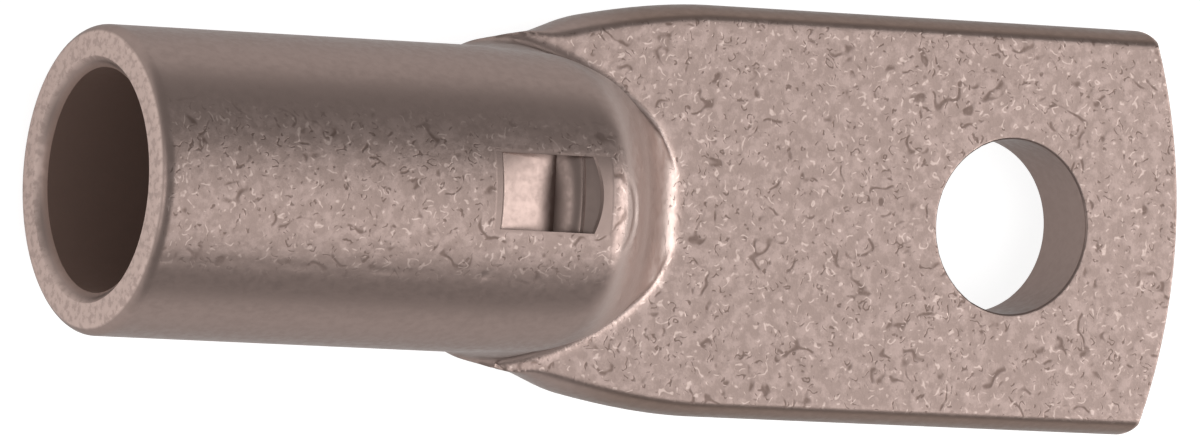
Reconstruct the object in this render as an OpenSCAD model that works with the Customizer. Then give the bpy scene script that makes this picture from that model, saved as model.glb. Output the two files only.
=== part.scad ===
// Tubular cable lug: one length of copper tube, round at the cable end and pressed flat at the stud end.
// Frame: origin at the stud hole's centre on the underside of the palm, +X towards the tip, +Z up.

/* [Barrel] */
// Inside diameter of the round barrel, which takes the stripped conductor
bore_d = 10.5; // [9:0.5:12]
// Thickness of the tube's wall
wall = 2; // [1.7:0.1:2.4]
// Length of the round barrel, from the mouth to where the tube starts to spread
barrel_l = 19.8; // [12:0.2:26]
// Size of the 45 degree lead-in chamfer inside the mouth
mouth_chamfer = 0.5; // [0.2:0.1:0.8]
// Radius of the rounded outer lip at the mouth
lip_r = 0.6; // [0.3:0.1:0.8]

/* [Neck] */
// Length over which the flanks spread from the barrel to the full width of the palm
neck_l = 16; // [15:0.5:19]
// Distance from the end of the round barrel to the foot of the nose
nose_l = 14; // [13:0.1:14.3]
// Length over which the top of the nose falls to its foot
nose_drop_l = 10; // [9:0.1:10.6]
// How far the foot of the nose spreads past the barrel on each side
nose_spread = 0.45; // [0.2:0.05:0.8]
// Radius of the hollow fillet round the foot of the nose
foot_fillet = 0.9; // [0.6:0.1:1.2]
// Length over which the underside changes from round to flat
heel_l = 9; // [6:0.5:11]

/* [Palm] */
// Full width of the flat palm
palm_w = 19.8; // [18.8:0.2:23]
// Thickness of the palm, which is the two pressed walls together
palm_t = 4; // [3.2:0.1:4.5]
// Depth of the rounded fold along each long edge
fold_depth = 0.85; // [0.5:0.05:1.3]
// Diameter of the stud hole
hole_d = 8.5; // [5.5:0.5:10.5]
// Distance from the stud hole's centre back to where the palm reaches full width
hole_to_neck = 16.5; // [13:0.5:22]
// Distance from the stud hole's centre to the end of the palm
hole_to_tip = 9.5; // [8.5:0.1:14]
// Radius of the palm's sheared end
tip_r = 28; // [18:0.5:50]

/* [Stop notch] */
// Width of the notch across the barrel
notch_w = 3.6; // [2.6:0.1:4.4]
// Length of the notch's long slope, on the side of the mouth
notch_ramp_l = 3.4; // [2.6:0.1:4]
// Length of the notch's short slope, on the side of the palm
notch_back_l = 1.6; // [1.2:0.1:1.8]
// Depth of the crease, which is also how far its back stands into the bore as the conductor's stop
notch_depth = 1.3; // [0.8:0.1:1.6]
// Distance from the notch's crease to the foot of the nose
notch_to_foot = 12.4; // [12.2:0.1:13.4]
// How far the notch sits to the left of the centre line
notch_off = 0.45; // [0:0.05:0.9]
// Width of the small bevel that the press leaves round the notch's ends
notch_bevel = 0.3; // [0.1:0.05:0.4]

/* [Hidden] */
copper_tin = [0.66, 0.58, 0.55];

barrel_r = bore_d / 2 + wall;
neck_x = -(hole_to_neck + neck_l);
mouth_x = neck_x - barrel_l;
foot_x = neck_x + nose_l;
notch_x = foot_x - notch_to_foot;
// Where the plain round bore ends, just before the stop
socket_l = notch_x - notch_ramp_l - notch_bevel - mouth_x;
// Share of the nose's height over its foot fillet that is side wall, below the arch
side_share = (barrel_r - palm_t - foot_fillet) / (2 * barrel_r - palm_t - foot_fillet);
// How soon the section takes on its flanks after the end of the round barrel
flank_start_l = 2.4;
// Fullness of the nose seen from above: 0.5 is an ellipse and 1 a parabola
nose_fullness = 0.6;
// Half the width of the small crest left where the nose runs out
crest = 0.4;
// Least width that the fillet and the flat of the flank keep where they run into each other
least = 0.1;
// Hollow of the neck: half its width at the end, how much it narrows, and where its sides are widest
hollow_end_w = 0.3;
hollow_taper = 0.15;
hollow_belly = 0.4;
// Overlap that joins the neck to the barrel, and how far it stays inside the barrel's skin
lap = 1;
skin = 0.006;
over = 1;

function clamp(v) = min(1, max(0, v));
function ease(v) = let (c = clamp(v)) c * c * (3 - 2 * c);
function soon(v) = 1 - pow(1 - clamp(v), 2);
function mix(a, b, m) = a + (b - a) * m;
// Points of the quarter arc from angle a0 to a1 on an ellipse, both ends included
function arc(cy, cz, ry, rz, a0, a1, n) =
    [for (i = [0:n]) let (a = mix(a0, a1, i / n)) [cy + ry * cos(a), cz + rz * sin(a)]];

// Half the width of the flanks, s millimetres after the end of the round barrel
function flank_w(s) = mix(barrel_r, palm_w / 2, (soon(s / neck_l) + ease(s / neck_l)) / 2);
// Plan shape of the nose: half its width at a distance s, for a foot that ends at distance end
function nose_w(s, full_w, end) =
    let (u = clamp((s - foot_fillet) / (end - foot_fillet))) full_w * pow(1 - u * u, nose_fullness);
// Height of the nose's crest above the palm's underside: a smooth fall from the barrel to the palm
function crest_z(s) = mix(palm_t, 2 * barrel_r, (1 + cos(180 * clamp((s - nose_l + nose_drop_l) / nose_drop_l))) / 2);

// Number of steps in each stretch of a half section
N_UNDER = 4;
N_FOLD = 8;
N_FLANK = 2;
N_FILLET = 4;
N_SIDE = 2;
N_ARCH = 11;

// Half of the pressed section from the middle of the underside round to the crest:
// underside, folded edge, flat flank, fillet, side wall and arch
function pressed_half(s) =
    let (w = flank_w(s),
         dome_w = barrel_r + nose_spread,
         wall_w = max(crest, min(nose_w(s, dome_w, nose_l), w - 2 * least)),
         foot_w = max(wall_w + least, min(nose_w(s, dome_w + foot_fillet, nose_l + foot_fillet), w - least)),
         fold_w = min(fold_depth, w - foot_w - least / 4),
         top = crest_z(s),
         base = min(top, palm_t + foot_fillet),
         side_z = mix(base, top, side_share),
         side_w = wall_w * barrel_r / dome_w)
    concat(
        [for (i = [0:N_UNDER - 1]) [(w - fold_depth) * i / N_UNDER, 0]],
        arc(w - fold_depth, palm_t / 2, fold_depth, palm_t / 2, -90, 0, N_FOLD / 2),
        [for (i = [1:N_FOLD / 2]) let (a = 90 * i / (N_FOLD / 2))
            [w - fold_w * (1 - cos(a)), palm_t / 2 * (1 + sin(a))]],
        [for (i = [1:N_FLANK]) [mix(w - fold_w, foot_w, i / N_FLANK), palm_t]],
        [for (i = [1:N_FILLET]) let (a = 90 * i / N_FILLET)
            [mix(wall_w, foot_w, 1 - sin(a)), mix(palm_t, base, 1 - cos(a))]],
        [for (i = [1:N_SIDE]) [mix(wall_w, side_w, i / N_SIDE), mix(base, side_z, i / N_SIDE)]],
        [for (i = [1:N_ARCH]) let (a = 90 * i / N_ARCH)
            [side_w * cos(a), side_z + (top - side_z) * sin(a)]]);

// Where each point of the half section sits on the round tube, as an angle from the lowest point
function round_angles() =
    let (under = 42, fold = 76, flank = 80, fillet = 86, side = 90)
    concat(
        [for (i = [0:N_UNDER - 1]) under * i / N_UNDER],
        [for (i = [0:N_FOLD]) mix(under, fold, i / N_FOLD)],
        [for (i = [1:N_FLANK]) mix(fold, flank, i / N_FLANK)],
        [for (i = [1:N_FILLET]) mix(flank, fillet, i / N_FILLET)],
        [for (i = [1:N_SIDE]) mix(fillet, side, i / N_SIDE)],
        [for (i = [1:N_ARCH]) mix(side, 180, i / N_ARCH)]);

// Half section at a distance s: the round tube, then its upper and lower parts pressed to shape
function half_section(s) =
    let (r = barrel_r - skin, angles = round_angles(), pressed = pressed_half(max(0, s)), last = len(angles) - 1,
         upper = soon(s / flank_start_l), lower = ease(s / heel_l))
    [for (i = [0:last])
        let (a = angles[i], m = mix(lower, upper, ease((i - N_UNDER) / N_FOLD)))
        [mix(r * sin(a), pressed[i][0], m), mix(barrel_r - r * cos(a), pressed[i][1], m)]];

// Full section as a closed ring of [y, z], from the half and its mirror image
function ring(half) =
    let (last = len(half) - 1)
    concat(half, [for (i = [last - 1:-1:1]) [-half[i][0], half[i][1]]]);

// Skin over a row of rings with equal counts of points, closed at each end by a fan round its centre
module loft(xs, rings) {
    n = len(rings[0]);
    last = len(xs) - 1;
    centres = [for (j = [0, last]) [xs[j], 0, (min([for (p = rings[j]) p[1]]) + max([for (p = rings[j]) p[1]])) / 2]];
    points = concat([for (j = [0:last], p = rings[j]) [xs[j], p[0], p[1]]], centres);
    skin_faces = [for (j = [0:last - 1], i = [0:n - 1])
        let (a = j * n + i, b = j * n + (i + 1) % n)
        each [[a, a + n, b], [b, a + n, b + n]]];
    first = (last + 1) * n;
    caps = [for (i = [0:n - 1]) let (k = (i + 1) % n)
        each [[i, k, first], [last * n + k, last * n + i, first + 1]]];
    polyhedron(points, concat(skin_faces, caps), convexity = 6);
}

// Stations along the neck, closer where the flanks start and where the nose runs out on the palm
function stations() = concat(
    [-lap, 0],
    [for (i = [1:5]) flank_start_l * i / 5],
    [for (i = [1:14]) mix(flank_start_l, nose_l, i / 15)],
    [for (i = [0:6]) mix(nose_l - nose_drop_l / 15, nose_l + foot_fillet, i / 6)],
    [nose_l + foot_fillet + over + max(0, neck_l - nose_l - foot_fillet)],
    [neck_l + hole_to_neck + hole_to_tip + over]);

module neck_and_palm_blank() {
    s = stations();
    loft([for (v = s) neck_x + v], [for (v = s) ring(half_section(v))]);
}

// Round tube with its rounded outer lip
module barrel_blank() {
    lip = [for (i = [0:6]) let (a = 15 * i) [barrel_r - lip_r * (1 - sin(a)), lip_r * (1 - cos(a))]];
    translate([mouth_x, 0, barrel_r]) rotate([0, 90, 0]) rotate_extrude($fn = 96)
        polygon(concat([[0, 0]], lip, [[barrel_r, barrel_l], [0, barrel_l]]));
}

// Round bore with its lead-in chamfer, as far as the stop
module bore() {
    r = bore_d / 2;
    translate([mouth_x, 0, barrel_r]) rotate([0, 90, 0]) rotate_extrude($fn = 96)
        polygon([[0, -over], [r + mouth_chamfer, -over], [r + mouth_chamfer, 0], [r, mouth_chamfer],
                 [r, socket_l], [0, socket_l]]);
}

// Hollow of the neck, one wall inside the pressed skin, narrowing to where the walls meet
function hollow_half(s) =
    let (r = bore_d / 2 - skin, m = ease(s / heel_l),
         end = nose_l - wall,
         u = clamp(s / end),
         w = max(hollow_end_w, (nose_w(s, barrel_r + nose_spread, end) - wall) * (1 - hollow_taper * u)),
         top = max(palm_t, crest_z(s + wall) - wall),
         floor_z = mix(wall, palm_t / 2, u),
         mid = mix(floor_z, top, hollow_belly))
    [for (i = [0:16]) let (a = 180 * i / 16 - 90, up = a >= 0)
        [mix(r, w, m) * cos(a), mix(barrel_r, mid, m) + sin(a) * mix(r, up ? top - mid : mid - floor_z, m)]];

module neck_hollow() {
    end = nose_l - wall;
    start = socket_l - barrel_l - lap;
    s = concat([start], [for (i = [0:10]) end * sin(9 * i)]);
    loft([for (v = s) neck_x + v], [for (v = s) ring(hollow_half(max(0, v)))]);
}

// Everything beyond the sheared, slightly rounded end of the palm
module beyond_tip() {
    reach = palm_w + hole_to_tip;
    difference() {
        translate([0, -palm_w, -over]) cube([reach, 2 * palm_w, palm_t + 2 * over]);
        translate([hole_to_tip - tip_r, 0, -2 * over]) cylinder(r = tip_r, h = palm_t + 4 * over, $fn = 180);
    }
}

module stud_hole() {
    translate([0, 0, -over]) cylinder(d = hole_d, h = palm_t + 2 * over, $fn = 96);
}

// Places a profile in the X-Z plane on the crest over the notch's crease, depth millimetres under
// the skin, and gives it the notch's width
module at_notch(depth) {
    translate([notch_x, notch_off + notch_w / 2, 2 * barrel_r - depth]) rotate([90, 0, 0])
        linear_extrude(notch_w) children();
}

// Notch seen from the side: a long and a short slope that meet in the crease, with a bevel at both ends
module notch() {
    edge = -notch_bevel / 2;
    at_notch(0) polygon([
        [-notch_ramp_l - notch_bevel, notch_bevel], [-notch_ramp_l, edge], [0, -notch_depth],
        [notch_back_l, edge], [notch_back_l + notch_bevel, notch_bevel],
        [notch_back_l + notch_bevel, wall], [-notch_ramp_l - notch_bevel, wall]]);
}

// Back of the notch: the strip of wall pressed down into the bore, which stops the conductor
module stop() {
    at_notch(wall) polygon([[-notch_ramp_l, wall / 2], [-notch_ramp_l, -skin], [0, -notch_depth],
                            [notch_back_l, -skin], [notch_back_l, wall / 2]]);
}

module cable_lug() {
    color(copper_tin) difference() {
        union() {
            difference() {
                union() {
                    barrel_blank();
                    neck_and_palm_blank();
                }
                bore();
                neck_hollow();
            }
            stop();
        }
        beyond_tip();
        stud_hole();
        notch();
    }
}

cable_lug();
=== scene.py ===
"""Builds the looks of a tin-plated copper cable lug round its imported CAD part.

The lug is one length of copper tube: round at the cable end, pressed flat at the stud end. This script
builds the same shape as one finer mesh, with the softened edges, the press marks and the tumbling dents
that the solid leaves out, and lights it on a plain floor.
"""

import logging
import math
from dataclasses import dataclass, field
from enum import Enum

import bmesh
import bpy
import numpy as np
from mathutils import Matrix, Vector

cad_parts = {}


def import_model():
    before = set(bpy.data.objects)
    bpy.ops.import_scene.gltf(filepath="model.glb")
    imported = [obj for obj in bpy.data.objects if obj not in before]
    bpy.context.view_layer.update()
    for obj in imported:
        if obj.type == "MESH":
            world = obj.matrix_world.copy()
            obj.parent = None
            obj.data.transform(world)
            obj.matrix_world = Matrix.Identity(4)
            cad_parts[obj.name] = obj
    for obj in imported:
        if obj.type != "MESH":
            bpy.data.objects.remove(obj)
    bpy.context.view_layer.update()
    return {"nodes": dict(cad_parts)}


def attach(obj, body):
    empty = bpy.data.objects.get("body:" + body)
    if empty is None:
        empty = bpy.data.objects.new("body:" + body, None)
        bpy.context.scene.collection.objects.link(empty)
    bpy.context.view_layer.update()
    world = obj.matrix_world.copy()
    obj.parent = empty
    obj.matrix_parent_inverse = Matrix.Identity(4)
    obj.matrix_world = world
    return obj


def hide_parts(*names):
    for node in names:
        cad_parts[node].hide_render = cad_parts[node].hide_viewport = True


LOG = logging.getLogger("cable_lug")
MM = 0.001
NODE = "cable_lug"
# How far a cutter stands past what it cuts, and the radius that it leaves on an edge, in millimetres.
CUT_PAST = 1.0
EDGE_R = 0.12
# Faces that meet at a wider angle than this are shaded as a sharp edge.
SHARP_ANGLE = math.radians(38)

Array = np.ndarray
Colour = tuple[float, float, float]
Face = tuple[int, ...]
Socket = bpy.types.NodeSocket


class Zone(Enum):
    """A kind of skin that is finished its own way, named as its mark on the mesh is."""

    TUMBLED = "tumbled"
    INSIDE = "inside"
    # The mouth's saw cut and the sheared tip: rougher, and painted lighter, partly as bare metal and partly
    # as a painted reflection.
    CUT = "cut"
    # The nose's face towards the tip, painted lighter as a painted highlight.
    PRESSED = "pressed"
    # The palm's folded long edges, which face sideways and get painted shade.
    FOLDED = "folded"


def smooth(value: Array) -> Array:
    """Eases a value from 0 to 1 with no kink at either end."""
    c = np.clip(value, 0.0, 1.0)
    return c * c * (3.0 - 2.0 * c)


def soon(value: Array) -> Array:
    """Eases a value from 0 to 1, quickly at first."""
    return 1.0 - (1.0 - np.clip(value, 0.0, 1.0)) ** 2


def mix(a: Array, b: Array, m: Array) -> Array:
    """Goes from a to b as m goes from 0 to 1."""
    return a + (b - a) * m


def soft_least(a: float, b: float, reach: float) -> float:
    """The lesser of two values, rounded off where they come within reach of each other."""
    h = min(1.0, max(0.0, 0.5 + 0.5 * (b - a) / reach))
    return float(mix(b, a, h)) - reach * h * (1.0 - h)


@dataclass(frozen=True)
class Ease:
    """An easing from 0 to 1 that begins at a start and takes a span."""

    start: float
    span: float

    def at(self, value: Array) -> Array:
        """How far the easing has come at a value."""
        return smooth((value - self.start) / self.span)


@dataclass(frozen=True)
class LugSizes:
    """Sizes of the lug, in millimetres, as the part's source names them."""

    bore_d: float = 10.5
    wall: float = 2.0
    barrel_l: float = 19.8
    mouth_chamfer: float = 0.5
    lip_r: float = 0.6
    neck_l: float = 16.0
    nose_l: float = 14.0
    nose_drop_l: float = 10.0
    nose_spread: float = 0.45
    nose_fullness: float = 0.6
    foot_fillet: float = 0.9
    flank_start_l: float = 2.4
    arch_start_l: float = 6.0
    heel_l: float = 9.0
    palm_w: float = 19.8
    palm_t: float = 4.0
    fold_depth: float = 0.85
    hole_d: float = 8.5
    hole_to_neck: float = 16.5
    hole_to_tip: float = 9.5
    tip_r: float = 28.0
    notch_w: float = 3.6
    notch_ramp_l: float = 3.4
    notch_back_l: float = 1.6
    notch_depth: float = 1.3
    notch_to_foot: float = 12.4
    notch_off: float = 0.45
    notch_bevel: float = 0.3
    # The narrowest that the nose's wall line gets, and the shortest stretch that a section keeps.
    crest: float = 0.4
    least: float = 0.1

    @property
    def barrel_r(self) -> float:
        """Outside radius of the round barrel."""
        return self.bore_d / 2 + self.wall

    @property
    def neck_x(self) -> float:
        """Where the round barrel ends and the tube starts to spread."""
        return -(self.hole_to_neck + self.neck_l)

    @property
    def mouth_x(self) -> float:
        """Where the tube's open mouth is."""
        return self.neck_x - self.barrel_l

    @property
    def foot_x(self) -> float:
        """Where the nose meets the palm."""
        return self.neck_x + self.nose_l

    @property
    def notch_x(self) -> float:
        """Where the stop notch's crease lies."""
        return self.foot_x - self.notch_to_foot

    @property
    def side_share(self) -> float:
        """Share of the nose's height over its foot fillet that is side wall, below the arch."""
        base = self.palm_t + self.foot_fillet
        return (self.barrel_r - base) / (2 * self.barrel_r - base)


@dataclass(frozen=True)
class HalfSteps:
    """How many steps each stretch of a half section has while it is worked out."""

    under: int = 24
    fold: int = 24
    flank: int = 20
    fillet: int = 20
    side: int = 16
    arch: int = 72
    # Degrees round the tube, from its lowest point, where each stretch starts and the last one ends.
    marks: tuple[float, ...] = (0, 42, 76, 80, 86, 90, 180)

    def round_angles(self) -> Array:
        """Works out the place of each point while the tube is still round.

        Returns:
            Angles from the lowest point up to the crest.
        """
        marks = np.radians(self.marks)
        counts = [self.under, self.fold, self.flank, self.fillet, self.side, self.arch]
        rows = [
            np.linspace(marks[i], marks[i + 1], n + 1)[(0 if i == 0 else 1):]
            for i, n in enumerate(counts)
        ]
        return np.concatenate(rows)


@dataclass(frozen=True)
class LugShape:
    """The lug's outline and cross sections, as functions of the distance along it."""

    size: LugSizes = LugSizes()
    nose_blend: float = 0.5
    fold_blend: float = 0.4

    def flank_w(self, s: float) -> float:
        """Half the width of the flanks, s millimetres after the round barrel."""
        u = np.asarray(s / self.size.neck_l)
        return float(mix(self.size.barrel_r, self.size.palm_w / 2, (soon(u) + smooth(u)) / 2))

    def nose_w(self, s: float, full_w: float, end: float) -> float:
        """Half the width of the nose seen from above.

        Args:
            s: Distance after the end of the round barrel.
            full_w: Half the width where the nose starts.
            end: Distance at which the nose has run out.

        Returns:
            Half the width, in millimetres.
        """
        z = self.size
        u = min(1.0, max(0.0, (s - z.foot_fillet) / (end - z.foot_fillet)))
        return full_w * (1.0 - u * u) ** z.nose_fullness

    def crest_z(self, s: float) -> float:
        """Height of the skin on the middle line.

        Args:
            s: Distance after the end of the round barrel.

        Returns:
            The height over the underside, in millimetres.
        """
        z = self.size
        u = min(1.0, max(0.0, (s - z.nose_l + z.nose_drop_l) / z.nose_drop_l))
        return float(mix(z.palm_t, 2 * z.barrel_r, (1 + math.cos(math.pi * u)) / 2))

    def pressed_half(self, s: float, steps: HalfSteps) -> Array:
        """Half of the pressed section, from the middle of the underside round to the crest.

        Args:
            s: Distance after the end of the round barrel.
            steps: How many steps each stretch of the half section has.

        Returns:
            An array of (y, z) points.
        """
        z = self.size
        w = self.flank_w(s)
        dome_w = z.barrel_r + z.nose_spread
        wall_full = self.nose_w(s, dome_w, z.nose_l)
        wall_w = max(z.crest, soft_least(wall_full, w - 2 * z.least, self.nose_blend))
        foot_full = self.nose_w(s, dome_w + z.foot_fillet, z.nose_l + z.foot_fillet)
        foot_w = max(wall_w + z.least, soft_least(foot_full, w - z.least, self.nose_blend))
        fold_w = soft_least(z.fold_depth, w - foot_w - z.least / 4, self.fold_blend)
        top = self.crest_z(s)
        base = min(top, z.palm_t + z.foot_fillet)
        side_z = float(mix(base, top, z.side_share))
        side_w = wall_w * z.barrel_r / dome_w
        half_t = z.palm_t / 2
        low = np.radians(np.linspace(-90, 0, steps.fold // 2 + 1))
        turn = np.radians(np.linspace(0, 90, steps.fold // 2 + 1)[1:])
        flank = np.linspace(0, 1, steps.flank + 1)[1:]
        hollow = np.radians(np.linspace(0, 90, steps.fillet + 1)[1:])
        side = np.linspace(0, 1, steps.side + 1)[1:]
        arch = np.radians(np.linspace(0, 90, steps.arch + 1)[1:])
        under = np.linspace(0, 1, steps.under + 1)[:-1]
        # Underside, lower and upper half of the fold, flank, foot fillet, side wall and arch of the nose.
        rows = [
            ((w - z.fold_depth) * under, under * 0),
            (w - z.fold_depth + z.fold_depth * np.cos(low), half_t + half_t * np.sin(low)),
            (w - fold_w * (1 - np.cos(turn)), half_t * (1 + np.sin(turn))),
            (mix(w - fold_w, foot_w, flank), flank * 0 + z.palm_t),
            (mix(wall_w, foot_w, 1 - np.sin(hollow)), mix(z.palm_t, base, 1 - np.cos(hollow))),
            (mix(wall_w, side_w, side), mix(base, side_z, side)),
            (side_w * np.cos(arch), side_z + (top - side_z) * np.sin(arch)),
        ]
        return np.concatenate([np.stack(row, axis=1) for row in rows])

    def half_section(self, s: float, steps: HalfSteps) -> Array:
        """Half section of the skin: the round tube, with its upper and lower parts pressed to shape.

        Args:
            s: Distance after the end of the round barrel.
            steps: How many steps each stretch of the half section has.

        Returns:
            An array of (y, z) points.
        """
        z = self.size
        angles = steps.round_angles()
        pressed = self.pressed_half(max(0.0, s), steps)
        index = np.arange(len(angles))
        arch = smooth((index - steps.under - steps.fold - steps.flank) / (steps.fillet + steps.side))
        upper = mix(soon(s / z.flank_start_l), smooth(s / z.arch_start_l), arch)
        lower = smooth(s / z.heel_l)
        m = mix(lower, upper, smooth((index - steps.under) / steps.fold))
        tube = np.stack([z.barrel_r * np.sin(angles), z.barrel_r * (1 - np.cos(angles))], axis=1)
        return tube + (pressed - tube) * m[:, None]

    def tip_x(self, y: Array) -> Array:
        """Where the sheared end of the palm lies at a distance y from the middle line."""
        return self.size.hole_to_tip - self.size.tip_r + np.sqrt(self.size.tip_r**2 - y**2)


def resample(points: Array, weights: Array, count: int) -> Array:
    """Spreads points evenly along a line, closer together where it weighs more.

    Args:
        points: The line's points, one row each.
        weights: How much each point's stretch of the line weighs.
        count: How many points to return.

    Returns:
        The new points, first and last unchanged.
    """
    step = np.linalg.norm(np.diff(points, axis=0), axis=1) * (weights[1:] + weights[:-1]) / 2
    run = np.concatenate([[0.0], np.cumsum(step)])
    wanted = np.linspace(0.0, run[-1], count)
    return np.stack([np.interp(wanted, run, points[:, k]) for k in range(points.shape[1])], axis=1)


def mesh_object(name: str, points: Array, faces: list[Face]) -> bpy.types.Object:
    """Makes a mesh object in the scene.

    Args:
        name: The object's name.
        points: Vertices in millimetres.
        faces: Rows of vertex numbers.

    Returns:
        The new object, in metres.
    """
    mesh = bpy.data.meshes.new(name)
    mesh.from_pydata((points * MM).tolist(), [], faces)
    mesh.validate()
    item = bpy.data.objects.new(name, mesh)
    bpy.context.scene.collection.objects.link(item)
    return item


def face_outward(item: bpy.types.Object) -> None:
    """Turns every face of a closed mesh to look outward.

    Args:
        item: The object whose mesh is turned.
    """
    solid = bmesh.new()
    solid.from_mesh(item.data)
    bmesh.ops.recalc_face_normals(solid, faces=solid.faces)
    if solid.calc_volume(signed=True) < 0:
        bmesh.ops.reverse_faces(solid, faces=solid.faces)
    solid.to_mesh(item.data)
    solid.free()


def standing(x: float, yz: Array) -> Array:
    """Stands a ring of (y, z) points across the lug at x."""
    return np.column_stack([np.full(len(yz), x), yz])


def tube_faces(rows: int, around: int) -> list[Face]:
    """Quads that join each closed ring of points to the next one.

    Args:
        rows: How many rings there are.
        around: How many points each ring has.

    Returns:
        Rows of vertex numbers.
    """
    faces = []
    for a in range(0, (rows - 1) * around, around):
        b = a + around
        faces += [(a + i, b + i, b + (i + 1) % around, a + (i + 1) % around) for i in range(around)]
    return faces


def fan_ends(rings: list[Array], faces: list[Face]) -> tuple[Array, list[Face]]:
    """Closes a stack of rings with a fan of triangles at each end.

    Args:
        rings: Rings of equal length, one row per point.
        faces: The quads between the rings.

    Returns:
        The points, with the two middle points last, and all the faces.
    """
    around = len(rings[0])
    last, middle = (len(rings) - 1) * around, len(rings) * around
    points = np.concatenate([*rings, [rings[0].mean(axis=0)], [rings[-1].mean(axis=0)]])
    for i in range(around):
        k = (i + 1) % around
        faces += [(i, k, middle), (last + k, last + i, middle + 1)]
    return points, faces


def closed_sweep(name: str, rings: list[Array]) -> bpy.types.Object:
    """Joins rings into a closed solid with flat ends.

    Args:
        name: The object's name.
        rings: Rings of equal length, one row per point.

    Returns:
        The new object.
    """
    n = len(rings[0])
    faces = tube_faces(len(rings), n)
    faces += [tuple(range(n)), tuple(reversed(range((len(rings) - 1) * n, len(rings) * n)))]
    return mesh_object(name, np.concatenate(rings), faces)


def soft_wall(palm_t: float, side: float, outward: float, rows: int, edge_steps: int = 6) -> Array:
    """Profile of a cutter's wall, flared at both faces of the palm so that it leaves softened edges.

    Args:
        palm_t: Thickness of the palm.
        side: How far out the wall stands.
        outward: 1 where the flare goes outward and -1 where it goes inward.
        rows: How many rows of points the wall has, its two ends among them.
        edge_steps: How many rows of points each flare has.

    Returns:
        An array of (distance, z) points from the underside up to the top.
    """
    turn = np.radians(np.linspace(0, 90, edge_steps))
    flare = side + outward * EDGE_R * (1 - np.sin(turn))
    rise = EDGE_R * (1 - np.cos(turn))
    wall_z = np.linspace(EDGE_R, palm_t - EDGE_R, rows)[1:-1]
    return np.concatenate([
        np.column_stack([flare, rise]),
        np.column_stack([np.full(len(wall_z), side), wall_z]),
        np.column_stack([flare[::-1], palm_t - rise[::-1]]),
    ])


@dataclass(frozen=True)
class StudPunch:
    """Round punch that pierces the palm for the stud."""

    shape: LugShape = LugShape()
    around: int = 200
    wall_rows: int = 14

    def build(self) -> bpy.types.Object:
        """Builds the punch.

        Returns:
            The cutter, standing on the stud hole's axis.
        """
        z = self.shape.size
        wide = z.hole_d / 2 + EDGE_R
        profile = np.concatenate([
            [[wide, -CUT_PAST]],
            soft_wall(z.palm_t, z.hole_d / 2, 1.0, self.wall_rows),
            [[wide, z.palm_t + CUT_PAST]],
        ])
        angle = np.linspace(0, 2 * math.pi, self.around, endpoint=False)
        rings = [
            np.column_stack([r * np.cos(angle), r * np.sin(angle), np.full(self.around, h)])
            for r, h in profile
        ]
        return mesh_object("hole_cutter", *fan_ends(rings, tube_faces(len(rings), self.around)))


@dataclass(frozen=True)
class TipShear:
    """Shear that cuts the palm's end to its arc."""

    shape: LugShape = LugShape()
    reach: float = 4.0
    rows: int = 140
    wall_rows: int = 12

    def build(self) -> bpy.types.Object:
        """Builds the shear.

        Returns:
            The cutter, across the end of the palm.
        """
        z = self.shape.size
        top = z.palm_t + CUT_PAST
        profile = np.concatenate([
            [[-EDGE_R, -CUT_PAST]],
            soft_wall(z.palm_t, 0.0, -1.0, self.wall_rows),
            [[-EDGE_R, top], [self.reach, top], [self.reach, -CUT_PAST]],
        ])
        half = z.palm_w / 2 + CUT_PAST
        return closed_sweep("tip_cutter", [
            np.column_stack([self.shape.tip_x(y) + profile[:, 0], np.full(len(profile), y), profile[:, 1]])
            for y in np.linspace(-half, half, self.rows)
        ])


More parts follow.
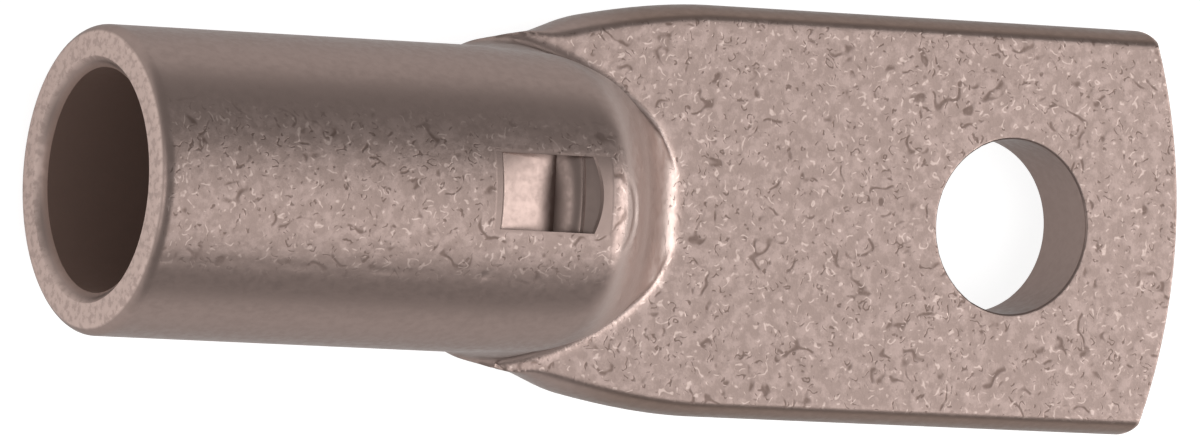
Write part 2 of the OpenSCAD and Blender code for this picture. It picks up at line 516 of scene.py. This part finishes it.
@dataclass(frozen=True)
class NotchBlade:
    """Press blade that leaves the stop notch.

    A long slope steepens down to a sharp crease, a short rounded slope climbs out of it, and a shallow
    crescent facet lies beyond that one. Heights are measured from the barrel's skin, negative below it.
    """

    shape: LugShape = LugShape()
    steepening: float = 0.3
    climb_share: float = 0.6
    shelf_z: float = -0.34
    ridge_rise: float = 0.12
    ridge_start: float = 0.06
    ridge_end: float = 0.16
    ridge_foot: float = 0.02
    facet_l: float = 0.66
    facet_bulge: float = 0.34
    facet_rim: float = 0.12
    facet_z: float = -0.16
    blade_h: float = 3.0
    # Heights of the rim's corners, as shares of the bevel: start of the slope, facet's end, outer corners.
    start_share: float = -0.4
    end_share: float = 0.2
    far_share: float = 1.4
    near_share: float = 0.7
    down_steps: int = 36
    up_steps: int = 22
    rows: int = 48

    def profile(self, v: float) -> Array:
        """Section of the blade along the lug.

        Args:
            v: Place across the blade, from -1 at one side to 1 at the other.

        Returns:
            An array of points: distance from the crease, height over the barrel's skin.
        """
        z = self.shape.size
        bevel, climb_l = z.notch_bevel, z.notch_back_l * self.climb_share
        down = np.linspace(0, 1, self.down_steps)
        up = np.linspace(0, 1, self.up_steps)[1:]
        fall = (1 - self.steepening) * down + self.steepening * down**3
        out = climb_l + self.facet_l + self.facet_bulge * (1 - v * v)
        rim = [
            [climb_l + self.ridge_start, self.shelf_z + self.ridge_rise],
            [climb_l + self.ridge_end, self.shelf_z + self.ridge_foot],
            [out - self.facet_rim, self.facet_z],
            [out, bevel * self.end_share],
            [out + bevel, bevel * self.far_share],
            [out + bevel, self.blade_h],
            [-z.notch_ramp_l - bevel, self.blade_h],
            [-z.notch_ramp_l - bevel, bevel * self.near_share],
        ]
        slope_z = mix(bevel * self.start_share, -z.notch_depth, fall)
        climb_z = mix(-z.notch_depth, self.shelf_z, np.sin(up * math.pi / 2))
        return np.concatenate([
            np.column_stack([mix(-z.notch_ramp_l, 0.0, down), slope_z]),
            np.column_stack([up * climb_l, climb_z]),
            rim,
        ])

    def build(self) -> bpy.types.Object:
        """Builds the blade, whose rim follows the barrel's round skin while its crease stays level.

        Returns:
            The cutter, standing over the crease.
        """
        z = self.shape.size
        rings = []
        for v in np.linspace(-1.0, 1.0, self.rows):
            y = z.notch_off + v * z.notch_w / 2
            profile = self.profile(v)
            drop = z.barrel_r - math.sqrt(z.barrel_r**2 - y * y)
            follow = 1 - np.clip(-profile[:, 1] / z.notch_depth, 0, 1)
            rings.append(np.column_stack([
                z.notch_x + profile[:, 0],
                np.full(len(profile), y),
                2 * z.barrel_r + profile[:, 1] - drop * follow,
            ]))
        return closed_sweep("notch_cutter", rings)


@dataclass(frozen=True)
class LugBody:
    """The lug's one piece: the pressed tube, its openings and its notch."""

    shape: LugShape = LugShape()
    half_points: int = 120
    under_weight: float = 0.42
    barrel_step: float = 0.34
    neck_step: float = 0.19
    notch_step: float = 0.1
    palm_step: float = 0.2
    neck_lead: float = 4.4
    notch_lead: float = 4.0
    notch_trail: float = 2.3
    foot_trail: float = 0.3
    hollow_rows: int = 16
    bore_rows: int = 36
    rim_rows: int = 8
    lip_rows: int = 9
    hollow_least: float = 0.3
    hollow_taper: float = 0.15
    hollow_waist: float = 0.4

    def stations(self) -> Array:
        """Spaces the rings of points along the skin, closest round the notch.

        Returns:
            Distances after the end of the round barrel.
        """
        z = self.shape.size
        marks = [
            (z.lip_r - z.barrel_l, self.barrel_step),
            (z.nose_l - z.notch_to_foot - self.neck_lead, self.neck_step),
            (z.nose_l - z.notch_to_foot - self.notch_lead, self.notch_step),
            (z.nose_l - z.nose_drop_l + self.notch_trail, self.neck_step),
            (z.nose_l + z.foot_fillet + self.foot_trail, self.palm_step),
            (z.neck_l + z.hole_to_neck + z.hole_to_tip + CUT_PAST, 0.0),
        ]
        rows = []
        for (a, step), (b, _) in zip(marks, marks[1:]):
            rows.append(np.linspace(a, b, max(2, round((b - a) / step)) + 1)[:-1])
        return np.concatenate([*rows, [marks[-1][0]]])

    def ring(self, s: float) -> Array:
        """Closed ring of the skin.

        Args:
            s: Distance after the end of the round barrel.

        Returns:
            An array of (y, z) points.
        """
        steps = HalfSteps()
        half = self.shape.half_section(s, steps)
        weights = np.ones(len(half))
        weights[: steps.under + steps.fold // 2] = self.under_weight
        half = resample(half, weights, self.half_points)
        return np.concatenate([half, half[-2:0:-1] * np.array([-1.0, 1.0])])

    def hollow_ring(self, s: float, round_ring: Array) -> Array:
        """Ring of the neck's hollow, one wall inside the skin, narrowing to where the walls meet.

        Args:
            s: Distance after the end of the round barrel.
            round_ring: The barrel's ring about its own middle.

        Returns:
            An array of (y, z) points.
        """
        z = self.shape.size
        end = z.nose_l - z.wall
        m, u = float(smooth(s / z.heel_l)), min(1.0, s / end)
        unit = round_ring / z.barrel_r
        room = self.shape.nose_w(s, z.barrel_r + z.nose_spread, end) - z.wall
        w = max(self.hollow_least, room * (1 - self.hollow_taper * u))
        top = max(z.palm_t, self.shape.crest_z(s + z.wall) - z.wall)
        low = mix(z.wall, z.palm_t / 2, u)
        mid = mix(low, top, self.hollow_waist)
        tall = np.where(unit[:, 1] >= 0, top - mid, mid - low)
        return np.column_stack([
            mix(z.bore_d / 2, w, m) * unit[:, 0],
            mix(z.barrel_r, mid, m) + unit[:, 1] * mix(z.bore_d / 2, tall, m),
        ])

    def inner_rings(self, round_ring: Array) -> list[Array]:
        """Rings of the hollow and the bore, from where the walls meet out to the mouth's chamfer.

        Args:
            round_ring: The barrel's ring about its own middle.

        Returns:
            Rings of (x, y, z) points.
        """
        z = self.shape.size
        rings = []
        for u in np.linspace(1.0, 0.0, self.hollow_rows)[:-1]:
            s = (z.nose_l - z.wall) * math.sin(math.radians(90 * u))
            rings.append(standing(z.neck_x + s, self.hollow_ring(s, round_ring)))
        bore = round_ring * (z.bore_d / 2 / z.barrel_r)
        centre = np.array([0.0, z.barrel_r])
        for s in np.linspace(0.0, z.mouth_chamfer - z.barrel_l, self.bore_rows):
            rings.append(standing(z.neck_x + s, bore + centre))
        for u in (0.5, 1.0):
            flared = bore * (1 + u * z.mouth_chamfer * 2 / z.bore_d)
            rings.append(standing(z.mouth_x + z.mouth_chamfer * (1 - u), flared + centre))
        return rings

    def mouth_rings(self, round_ring: Array) -> list[Array]:
        """Rings of the mouth's flat face and of its rounded outer lip.

        Args:
            round_ring: The barrel's ring about its own middle.

        Returns:
            Rings of (x, y, z) points.
        """
        z = self.shape.size
        centre = np.array([0.0, z.barrel_r])
        inner, outer = z.bore_d / 2 + z.mouth_chamfer, z.barrel_r - z.lip_r
        rings = []
        for u in np.linspace(0.0, 1.0, self.rim_rows)[1:]:
            rings.append(standing(z.mouth_x, round_ring * (mix(inner, outer, u) / z.barrel_r) + centre))
        for a in np.radians(np.linspace(0, 90, self.lip_rows)[1:-1]):
            r = z.barrel_r - z.lip_r * (1 - math.sin(a))
            x = z.mouth_x + z.lip_r * (1 - math.cos(a))
            rings.append(standing(x, round_ring * (r / z.barrel_r) + centre))
        return rings

    def blank(self) -> bpy.types.Object:
        """Builds the hollow tube, open at the mouth and pressed shut at the palm, before it is cut.

        Returns:
            The tube, one closed mesh.
        """
        z = self.shape.size
        round_ring = self.ring(z.lip_r - z.barrel_l) - np.array([0.0, z.barrel_r])
        skin = [standing(z.neck_x + s, self.ring(s)) for s in self.stations()]
        rings = self.inner_rings(round_ring) + self.mouth_rings(round_ring) + skin
        return mesh_object("lug", *fan_ends(rings, tube_faces(len(rings), len(round_ring))))

    def cut(self, body: bpy.types.Object, cutter: bpy.types.Object) -> None:
        """Takes one cutter out of the body and deletes the cutter.

        Args:
            body: The object that is cut.
            cutter: The closed solid that is taken out of it.
        """
        step = body.modifiers.new("cut", "BOOLEAN")
        step.operation, step.solver, step.object = "DIFFERENCE", "MANIFOLD", cutter
        graph = bpy.context.evaluated_depsgraph_get()
        made = bpy.data.meshes.new_from_object(body.evaluated_get(graph))
        body.modifiers.clear()
        body.data = made
        bpy.data.objects.remove(cutter)

    def build(self) -> bpy.types.Object:
        """Builds the lug's mesh, with its hole, end and notch cut and its skin pressed.

        Returns:
            The lug, without a material.
        """
        body = self.blank()
        face_outward(body)
        for tool in (StudPunch(self.shape), TipShear(self.shape), NotchBlade(self.shape)):
            cutter = tool.build()
            face_outward(cutter)
            self.cut(body, cutter)
        Skin(self.shape, body.data).finish()
        body.data.polygons.foreach_set("use_smooth", [True] * len(body.data.polygons))
        body.data.set_sharp_from_angle(angle=SHARP_ANGLE)
        return body


@dataclass(frozen=True)
class Knocks:
    """Small dents that the lug gets from others in the tumbler."""

    seed: int = 11
    count: int = 420
    upper_share: float = 0.75
    open_least: float = 0.4
    length: tuple[float, float] = (0.22, 0.75)
    width: tuple[float, float] = (0.12, 0.26)
    depth: tuple[float, float] = (0.004, 0.02)
    bend: tuple[float, float] = (-0.6, 0.6)
    through: float = 0.6

    def sink(self, skin: "Skin", tumbled: Array) -> Array:
        """Strikes the dents.

        Args:
            skin: The skin that is struck.
            tumbled: How far each of its vertices is open to tumbling.

        Returns:
            How deep each vertex is driven in.
        """
        size, place, normal = skin.size, skin.place, skin.normal
        rng = np.random.default_rng(self.seed)
        sink = np.zeros(len(place))
        open_skin = np.flatnonzero(tumbled > self.open_least)
        for _ in range(self.count):
            x = rng.uniform(size.mouth_x, size.hole_to_tip)
            spot = np.array([x, rng.uniform(-0.5, 0.5) * size.palm_w])
            upper = rng.random() < self.upper_share
            near = open_skin[(normal[open_skin, 2] > 0) == upper]
            hit = near[np.argmin(((place[near, :2] - spot) ** 2).sum(axis=1))]
            n = normal[hit]
            along = np.cross(n, rng.normal(size=3))
            along /= np.linalg.norm(along)
            d = place - place[hit]
            u = d @ along
            half = rng.uniform(*self.length)
            v = d @ np.cross(n, along) - rng.uniform(*self.bend) / half * u * u
            far = (u / half) ** 2 + (v / rng.uniform(*self.width)) ** 2 + ((d @ n) / self.through) ** 2
            sink += rng.uniform(*self.depth) * np.clip(1 - far, 0, 1) ** 2
        return sink


@dataclass(frozen=True)
class Crescent:
    """The shallow crescent that the press leaves on the nose beside the notch."""

    gap: float = 3.4
    aside: float = 0.85
    half: float = 1.85
    bulge: float = 0.75
    width: float = 0.24
    depth: float = 0.075
    facing: float = 0.3

    def sink(self, skin: "Skin") -> Array:
        """Presses the crescent.

        Args:
            skin: The skin that is pressed.

        Returns:
            How deep each vertex is driven in.
        """
        size, place, normal = skin.size, skin.place, skin.normal
        t = (place[:, 1] - (size.notch_off - self.aside)) / self.half
        line = size.notch_x + self.gap + self.bulge * (1 - t * t)
        groove = np.clip(1 - ((place[:, 0] - line) / self.width) ** 2, 0, 1)
        reach = np.clip(1 - t * t, 0, 1) * (normal[:, 2] > self.facing) * (place[:, 2] > size.barrel_r)
        return self.depth * np.sqrt(groove) * reach


@dataclass
class Skin:
    """The finished skin: it knows each vertex's place and facing, marks its kind and presses it."""

    shape: LugShape
    mesh: bpy.types.Mesh
    bore_near: float = 0.12
    bore_facing: float = -0.2
    bore_past_neck: float = 4.0
    mouth_clear: float = 0.02
    top_open: Ease = Ease(0.8, 0.15)
    under_open: Ease = Ease(0.9, 0.08)
    notch_margin: float = 0.1
    notch_lead: float = 0.7
    notch_half: float = 3.1
    cut_skin: float = 0.05
    nose_facing: Ease = Ease(0.15, 0.3)
    nose_start: Ease = Ease(4.0, 2.5)
    nose_end: Ease = Ease(0.0, 0.6)
    nose_past_foot: float = 1.5
    nose_clear: float = 0.1
    fold_facing: Ease = Ease(0.3, 0.4)
    fold_start: Ease = Ease(7.0, 5.0)
    hole_clear: float = 0.5
    place: Array = field(init=False)
    normal: Array = field(init=False)

    def __post_init__(self) -> None:
        """Reads the place, in millimetres, and the normal of each vertex."""
        count = 3 * len(self.mesh.vertices)
        place, normal = np.empty(count), np.empty(count)
        self.mesh.vertices.foreach_get("co", place)
        self.mesh.vertices.foreach_get("normal", normal)
        self.place, self.normal = place.reshape(-1, 3) / MM, normal.reshape(-1, 3)

    @property
    def size(self) -> LugSizes:
        """Sizes of the lug."""
        return self.shape.size

    def inside(self) -> Array:
        """Tells which vertices are in the bore or the hollow beyond it.

        Returns:
            True or false for each vertex.
        """
        z, place = self.size, self.place
        across = np.hypot(place[:, 1], place[:, 2] - z.barrel_r)
        outward = self.normal[:, 1] * place[:, 1] + self.normal[:, 2] * (place[:, 2] - z.barrel_r)
        facing = outward / across.clip(0.01)
        near = (across < z.bore_d / 2 + self.bore_near) & (place[:, 0] < z.neck_x + self.bore_past_neck)
        return near & (facing < self.bore_facing) & (place[:, 0] > z.mouth_x + self.mouth_clear)

    def tumbled(self, inside: Array) -> Array:
        """Tells how far each vertex is open to knocks from other lugs.

        Args:
            inside: Which vertices are in the bore.

        Returns:
            A share from 0 to 1 for each vertex.
        """
        z, place = self.size, self.place
        facing = self.top_open.at(self.normal[:, 2]) + self.under_open.at(-self.normal[:, 2])
        across = abs(place[:, 1] - z.notch_off) < z.notch_w / 2 + self.notch_margin
        along = abs(place[:, 0] - z.notch_x + self.notch_lead) < self.notch_half
        return np.where(inside | (across & along & (place[:, 2] > z.barrel_r)), 0.0, facing)

    def cut(self) -> Array:
        """Tells which vertices are on the mouth's saw cut or the sheared tip, which are painted lighter,
        partly as bare metal and partly as a painted reflection.

        Returns:
            True or false for each vertex.
        """
        tip = self.shape.tip_x(self.place[:, 1]) - self.cut_skin
        return (self.place[:, 0] < self.size.mouth_x + self.cut_skin) | (self.place[:, 0] > tip)

    def pressed(self) -> Array:
        """Tells how far each vertex is on the face of the nose that turns towards the tip, which gets a
        painted highlight.

        Returns:
            A share from 0 to 1 for each vertex.
        """
        z = self.size
        past = self.place[:, 0] - z.neck_x
        facing = self.nose_facing.at(self.normal[:, 0]) * (self.place[:, 2] > z.palm_t - self.nose_clear)
        return facing * (self.nose_start.at(past) * self.nose_end.at(z.nose_l + self.nose_past_foot - past))

    def folded(self) -> Array:
        """Tells how far each vertex is on a folded long edge of the palm, which faces sideways and is
        darkened with painted shade.

        Returns:
            A share from 0 to 1 for each vertex.
        """
        z, place = self.size, self.place
        facing = self.fold_facing.at(abs(self.normal[:, 1])) * self.fold_start.at(place[:, 0] - z.neck_x)
        at_hole = np.hypot(place[:, 0], place[:, 1]) < z.hole_d / 2 + self.hole_clear
        return np.where(at_hole, 0.0, facing * (place[:, 2] < z.palm_t))

    def finish(self) -> None:
        """Marks each kind of skin on the mesh, then presses the dents and the crescent into it."""
        inside = self.inside()
        tumbled = self.tumbled(inside)
        values = {
            Zone.TUMBLED: tumbled,
            Zone.INSIDE: inside,
            Zone.CUT: self.cut(),
            Zone.PRESSED: self.pressed(),
            Zone.FOLDED: self.folded(),
        }
        for zone, value in values.items():
            layer = self.mesh.attributes.new(zone.value, "FLOAT", "POINT")
            layer.data.foreach_set("value", value.astype(np.float32))
        sink = Knocks().sink(self, tumbled) + Crescent().sink(self)
        made = self.place - self.normal * sink[:, None]
        made[:, 2] = made[:, 2].clip(0.0, 2 * self.size.barrel_r)
        self.mesh.vertices.foreach_set("co", (made * MM).ravel())
        self.mesh.update()


@dataclass(frozen=True)
class NodeBench:
    """Short ways to add and join the shader nodes of one material."""

    tree: bpy.types.NodeTree

    def node(self, kind: str, **values: object) -> bpy.types.Node:
        """Adds a node.

        Args:
            kind: The node's type.
            **values: Its properties by name.

        Returns:
            The new node.
        """
        made = self.tree.nodes.new(kind)
        for key, value in values.items():
            setattr(made, key, value)
        return made

    def join(self, source: Socket, target: Socket) -> None:
        """Joins two sockets."""
        self.tree.links.new(source, target)

    def feed(self, socket: Socket, value: object) -> None:
        """Joins a socket to another one, or sets it.

        Args:
            socket: The input.
            value: A socket, a number or a colour.
        """
        if isinstance(value, Socket):
            self.join(value, socket)
        else:
            socket.default_value = (*value, 1.0) if isinstance(value, tuple) else value

    def math(self, kind: str, *inputs: object) -> Socket:
        """Adds a Math node whose inputs are numbers or sockets.

        Args:
            kind: The node's operation.
            *inputs: Its inputs in order.

        Returns:
            The node's result.
        """
        made = self.node("ShaderNodeMath", operation=kind)
        for socket, value in zip(made.inputs, inputs):
            self.feed(socket, value)
        return made.outputs[0]

    def noise(self, place: Socket, scale: float, detail: float = 2.0, rough: float = 0.5) -> Socket:
        """Adds a noise.

        Args:
            place: Where each point is, in millimetres.
            scale: Cells per millimetre.
            detail: How many finer layers it has.
            rough: How strong the finer layers are.

        Returns:
            The noise, about 0.5.
        """
        made = self.node("ShaderNodeTexNoise")
        for key, value in (("Vector", place), ("Scale", scale), ("Detail", detail), ("Roughness", rough)):
            self.feed(made.inputs[key], value)
        return made.outputs["Fac"]

    def step(self, value: Socket, low: float, high: float, a: float = 0.0, b: float = 1.0) -> Socket:
        """Eases from one number to another.

        Args:
            value: What the easing follows.
            low: The value at which it starts.
            high: The value at which it ends.
            a: What it gives at the start.
            b: What it gives at the end.

        Returns:
            The eased number.
        """
        made = self.node("ShaderNodeMapRange", interpolation_type="SMOOTHSTEP")
        for key, number in (("From Min", low), ("From Max", high), ("To Min", a), ("To Max", b)):
            made.inputs[key].default_value = number
        self.join(value, made.inputs["Value"])
        return made.outputs["Result"]

    def mark(self, zone: Zone) -> Socket:
        """Reads how far a point belongs to a zone."""
        return self.node("ShaderNodeAttribute", attribute_name=zone.value).outputs["Fac"]

    def blend(self, factor: Socket, a: object, b: object) -> Socket:
        """Mixes two colours.

        Args:
            factor: Share of the second colour.
            a: The first colour, or its socket.
            b: The second colour, or its socket.

        Returns:
            The mixed colour.
        """
        made = self.node("ShaderNodeMix", data_type="RGBA")
        self.join(factor, made.inputs[0])
        for socket, value in ((made.inputs[6], a), (made.inputs[7], b)):
            self.feed(socket, value)
        return made.outputs[2]


@dataclass(frozen=True)
class Hairlines:
    """Short curved scratches: contour lines of a noise, kept only in patches."""

    cell: float
    shift: float
    drift: tuple[float, float, float] = (1.0, 0.7, 1.3)
    rings: float = 6.0
    detail: float = 1.5
    core: float = 0.03
    edge: float = 0.2
    patch_cell: float = 1.9
    patch_start: float = 0.54
    patch_full: float = 0.64

    def draw(self, bench: NodeBench, place: Socket) -> Socket:
        """Draws the scratches.

        Args:
            bench: The material's nodes.
            place: Where each point is, in millimetres.

        Returns:
            1 on a scratch and 0 beside it.
        """
        moved = bench.node("ShaderNodeMapping")
        moved.inputs["Location"].default_value = [self.shift * way for way in self.drift]
        bench.join(place, moved.inputs["Vector"])
        here = moved.outputs[0]
        ridge = bench.math("MULTIPLY", bench.noise(here, self.cell, self.detail), self.rings)
        off = bench.math("ABSOLUTE", bench.math("SUBTRACT", bench.math("FRACT", ridge), 0.5))
        line = bench.step(off, self.core, self.edge, 1.0, 0.0)
        patches = bench.noise(here, self.cell * self.patch_cell, self.detail)
        return bench.math("MULTIPLY", line, bench.step(patches, self.patch_start, self.patch_full))


@dataclass(frozen=True)
class MetalNodes:
    """What the colour, the roughness and the relief of the metal share."""

    bench: NodeBench
    marks: dict[Zone, Socket]
    mottle: Socket
    grain: Socket
    scratches: Socket
    glints: Socket


@dataclass(frozen=True)
class TinnedCopper:
    """Tin plate over copper: satin, tumbled and pinkish grey, with fine curved scratches, painted glints, a
    painted highlight on the nose, cut faces lightened partly by a painted reflection, and painted shade on
    the palm's folds.
    """

    base: Colour = (0.255, 0.192, 0.171)
    worn: Colour = (0.318, 0.243, 0.219)
    scratch: Colour = (0.10, 0.066, 0.055)
    inner: Colour = (0.3, 0.2, 0.165)
    # Cut faces: bare metal, partly lightened as a painted reflection.
    cut_metal_and_sheen: Colour = (0.5, 0.385, 0.345)
    # Painted highlights along some scratches, where they would catch the light.
    glint: Colour = (0.6, 0.48, 0.435)
    # Painted shade for the palm's folded long edges.
    painted_fold_shade: Colour = (0.17, 0.118, 0.095)
    # Painted highlight for the nose's face towards the tip.
    painted_nose_light: Colour = (0.47, 0.375, 0.342)
    edge_tint: float = 0.6
    roughness: float = 0.38
    roughness_spread: float = 0.05
    inner_roughness: float = 0.6
    inner_metal: float = 0.35
    sawn_roughness: float = 0.5
    # Each noise: its cells per millimetre, its finer layers and how strong those are.
    grain: tuple[float, float, float] = (2.6, 3.0, 0.6)
    mottle: tuple[float, float, float] = (1.7, 4.0, 0.62)
    # Between which values of its noise each effect sets in.
    worn_range: tuple[float, float] = (0.42, 0.64)
    burr_range: tuple[float, float] = (0.46, 0.62)
    rough_range: tuple[float, float] = (0.3, 0.7)
    dark_scratches: tuple[Hairlines, ...] = (Hairlines(0.496, 3.0), Hairlines(1.28, 17.0))
    # Lines of painted highlight along scratches.
    painted_glint_lines: Hairlines = Hairlines(1.12, 41.0)
    scratch_share: float = 0.72
    glint_share: float = 0.5
    painted_fold_shade_share: float = 0.75
    burr_share: float = 0.55
    relief: float = 0.01
    smooth_relief: float = 0.2
    mottle_relief: float = 1.6
    grain_relief: float = 0.55
    scratch_relief: float = 0.5

    def material(self) -> bpy.types.Material:
        """Makes the material.

        Returns:
            The new material.
        """
        made = bpy.data.materials.new("tinned_copper")
        made.use_nodes = True
        bench = NodeBench(made.node_tree)
        scaled = bench.node("ShaderNodeMapping")
        scaled.inputs["Scale"].default_value = (1 / MM, 1 / MM, 1 / MM)
        bench.join(bench.node("ShaderNodeTexCoord").outputs["Object"], scaled.inputs["Vector"])
        place = scaled.outputs[0]
        marks = {zone: bench.mark(zone) for zone in Zone}
        dark = bench.math("MAXIMUM", *(lines.draw(bench, place) for lines in self.dark_scratches))
        bright = self.painted_glint_lines.draw(bench, place)
        metal = MetalNodes(
            bench, marks,
            mottle=bench.noise(place, *self.mottle),
            grain=bench.noise(place, *self.grain),
            scratches=bench.math("MULTIPLY", dark, marks[Zone.TUMBLED]),
            glints=bench.math("MULTIPLY", bright, marks[Zone.TUMBLED]),
        )
        shader = made.node_tree.nodes["Principled BSDF"].inputs
        shader["Specular Tint"].default_value = (self.edge_tint, self.edge_tint, self.edge_tint, 1.0)
        bench.join(self.colour(metal), shader["Base Color"])
        bench.join(bench.step(marks[Zone.INSIDE], 0.0, 1.0, 1.0, self.inner_metal), shader["Metallic"])
        bench.join(self.rough(metal), shader["Roughness"])
        bench.join(self.bump(metal), shader["Normal"])
        return made

    def colour(self, metal: MetalNodes) -> Socket:
        """Colours each kind of skin.

        Args:
            metal: The material's noises and marks.

        Returns:
            The colour.
        """
        bench, marks = metal.bench, metal.marks
        patchy = bench.math("MULTIPLY", bench.step(metal.mottle, *self.worn_range), marks[Zone.TUMBLED])
        # The nose's face towards the tip is painted lighter: a painted highlight.
        skin = bench.blend(marks[Zone.PRESSED], bench.blend(patchy, self.base, self.worn), self.painted_nose_light)
        # Dark scratches are marks; the glints are painted highlights and the folds get painted shade.
        for mark, share, tint in (
            (metal.scratches, self.scratch_share, self.scratch),
            (metal.glints, self.glint_share, self.glint),
            (marks[Zone.FOLDED], self.painted_fold_shade_share, self.painted_fold_shade),
        ):
            skin = bench.blend(bench.math("MULTIPLY", mark, share), skin, tint)
        skin = bench.blend(marks[Zone.INSIDE], skin, self.inner)
        # The cut faces are painted lighter: partly bare metal, partly a painted reflection.
        burrs = bench.math("MULTIPLY", bench.step(metal.grain, *self.burr_range), self.burr_share)
        return bench.blend(marks[Zone.CUT], skin, bench.blend(burrs, self.cut_metal_and_sheen, self.worn))

    def rough(self, metal: MetalNodes) -> Socket:
        """Roughens the bore and the faces left by the saw and the shear more than the skin.

        Args:
            metal: The material's noises and marks.

        Returns:
            The roughness.
        """
        bench, spread = metal.bench, self.roughness_spread
        rough = bench.math("ADD", bench.step(metal.grain, *self.rough_range, -spread, spread), self.roughness)
        for zone, wanted in ((Zone.INSIDE, self.inner_roughness), (Zone.CUT, self.sawn_roughness)):
            more = bench.math("MULTIPLY", metal.marks[zone], wanted - self.roughness)
            rough = bench.math("ADD", rough, more)
        return rough

    def bump(self, metal: MetalNodes) -> Socket:
        """Gives the tumbled skin its relief and leaves the rest nearly smooth.

        Args:
            metal: The material's noises and marks.

        Returns:
            The normal.
        """
        bench = metal.bench
        amount = bench.math("MULTIPLY", metal.marks[Zone.TUMBLED], 1.0 - self.smooth_relief)
        amount = bench.math("ADD", amount, self.smooth_relief)
        broad = bench.math("MULTIPLY", metal.mottle, self.mottle_relief)
        fine = bench.math("MULTIPLY", metal.grain, self.grain_relief)
        height = bench.math("MULTIPLY", bench.math("ADD", broad, fine), amount)
        height = bench.math("SUBTRACT", height, bench.math("MULTIPLY", metal.scratches, self.scratch_relief))
        made = bench.node("ShaderNodeBump")
        made.inputs["Strength"].default_value = 1.0
        made.inputs["Distance"].default_value = self.relief * MM
        bench.join(height, made.inputs["Height"])
        return made.outputs[0]


@dataclass(frozen=True)
class Softbox:
    """One soft lamp: a lit rectangle that faces a point. Its sizes are in metres."""

    name: str
    place: tuple[float, float, float]
    width: float
    depth: float
    radiance: float
    aim: tuple[float, float, float] = (-0.02, 0.0, 0.0)

    def build(self) -> bpy.types.Object:
        """Makes the lamp, with the power that gives its face the wanted radiance.

        Returns:
            The new lamp.
        """
        lamp = bpy.data.lights.new(self.name, "AREA")
        lamp.shape = "RECTANGLE"
        lamp.size, lamp.size_y = self.width, self.depth
        lamp.energy = self.radiance * math.pi * self.width * self.depth
        item = bpy.data.objects.new(self.name, lamp)
        item.location = self.place
        item.rotation_mode = "QUATERNION"
        item.rotation_quaternion = (Vector(self.place) - Vector(self.aim)).to_track_quat("Z", "Y")
        item.visible_camera = False
        bpy.context.scene.collection.objects.link(item)
        return item


@dataclass(frozen=True)
class Studio:
    """Plain pale floor, soft lamps and the camera. Its sizes are in metres."""

    floor_half: float = 3.0
    floor_colour: float = 0.45
    floor_glow: float = 0.84
    world_level: float = 0.46
    lens: float = 400.0
    sensor: float = 36.0
    frame_w: float = 0.0569
    tilt: float = math.radians(-30.0)
    roll: float = math.radians(2.9)
    aim: tuple[float, float, float] = (-0.0248, -0.00078, 0.007)
    clip: tuple[float, float] = (0.01, 20.0)
    lamps: tuple[Softbox, ...] = (
        Softbox("overhead", (0.22, -0.107, 0.40), 0.72, 0.34, 1.2),
        Softbox("side", (0.41, -0.06, 0.215), 0.4, 0.24, 4.2),
        Softbox("mouth", (-0.5, -0.05, 0.17), 0.3, 0.2, 2.0),
    )

    def floor_finish(self) -> bpy.types.Material:
        """Makes a matt surface that looks white to the eye and in the metal, and plain pale to the lamps.

        Returns:
            The new material.
        """
        made = bpy.data.materials.new("floor")
        made.use_nodes = True
        made.node_tree.nodes.clear()
        bench = NodeBench(made.node_tree)
        matt = bench.node("ShaderNodeBsdfDiffuse")
        matt.inputs["Color"].default_value = (self.floor_colour,) * 3 + (1.0,)
        path = bench.node("ShaderNodeLightPath").outputs
        seen = bench.math("MAXIMUM", path["Is Camera Ray"], path["Is Glossy Ray"])
        seen = bench.math("MAXIMUM", seen, path["Is Transmission Ray"])
        glow = bench.node("ShaderNodeEmission")
        bench.join(bench.math("MULTIPLY", seen, self.floor_glow), glow.inputs["Strength"])
        both = bench.node("ShaderNodeAddShader")
        bench.join(matt.outputs[0], both.inputs[0])
        bench.join(glow.outputs[0], both.inputs[1])
        bench.join(both.outputs[0], bench.node("ShaderNodeOutputMaterial").inputs["Surface"])
        return made

    def floor(self) -> None:
        """Lays the floor."""
        h = self.floor_half / MM
        corners = np.array([[-h, -h, 0], [h, -h, 0], [h, h, 0], [-h, h, 0]])
        item = mesh_object("floor", corners, [(0, 1, 2, 3)])
        item.data.materials.append(self.floor_finish())

    def world(self) -> None:
        """Gives the scene a plain, even surrounding light."""
        made = bpy.data.worlds.new("world")
        made.use_nodes = True
        made.node_tree.nodes["Background"].inputs["Color"].default_value = (1.0, 1.0, 1.0, 1.0)
        made.node_tree.nodes["Background"].inputs["Strength"].default_value = self.world_level
        bpy.context.scene.world = made

    def camera(self) -> None:
        """Sets up a long lens that looks down on the lug, tilted towards its mouth."""
        data = bpy.data.cameras.new("camera")
        data.lens, data.sensor_width = self.lens, self.sensor
        data.clip_start, data.clip_end = self.clip
        item = bpy.data.objects.new("camera", data)
        turn = Matrix.Rotation(self.tilt, 4, "Y") @ Matrix.Rotation(self.roll, 4, "Z")
        far = self.frame_w * self.lens / self.sensor
        item.matrix_world = Matrix.Translation(self.aim) @ turn @ Matrix.Translation((0.0, 0.0, far))
        bpy.context.scene.collection.objects.link(item)
        bpy.context.scene.camera = item

    def build(self) -> None:
        """Builds the floor, the world, the lamps and the camera."""
        self.floor()
        self.world()
        for lamp in self.lamps:
            lamp.build()
        self.camera()
        bpy.context.scene.view_settings.view_transform = "Standard"


def main() -> None:
    """Loads the frame, builds the lug and the studio, and keeps both boxes."""
    logging.basicConfig(level=logging.INFO, format="%(name)s: %(message)s")
    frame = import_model()
    lug = LugBody().build()
    lug.data.materials.clear()
    lug.data.materials.append(TinnedCopper().material())
    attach(lug, "root")
    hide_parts(NODE)
    triangles = sum(len(face.vertices) - 2 for face in lug.data.polygons)
    LOG.info("lug: %d vertices, %d triangles", len(lug.data.vertices), triangles)
    LOG.info("lug stands for: %s", ", ".join(frame["nodes"]))
    Studio().build()
    bpy.context.view_layer.update()


if __name__ == "__main__":
    main()
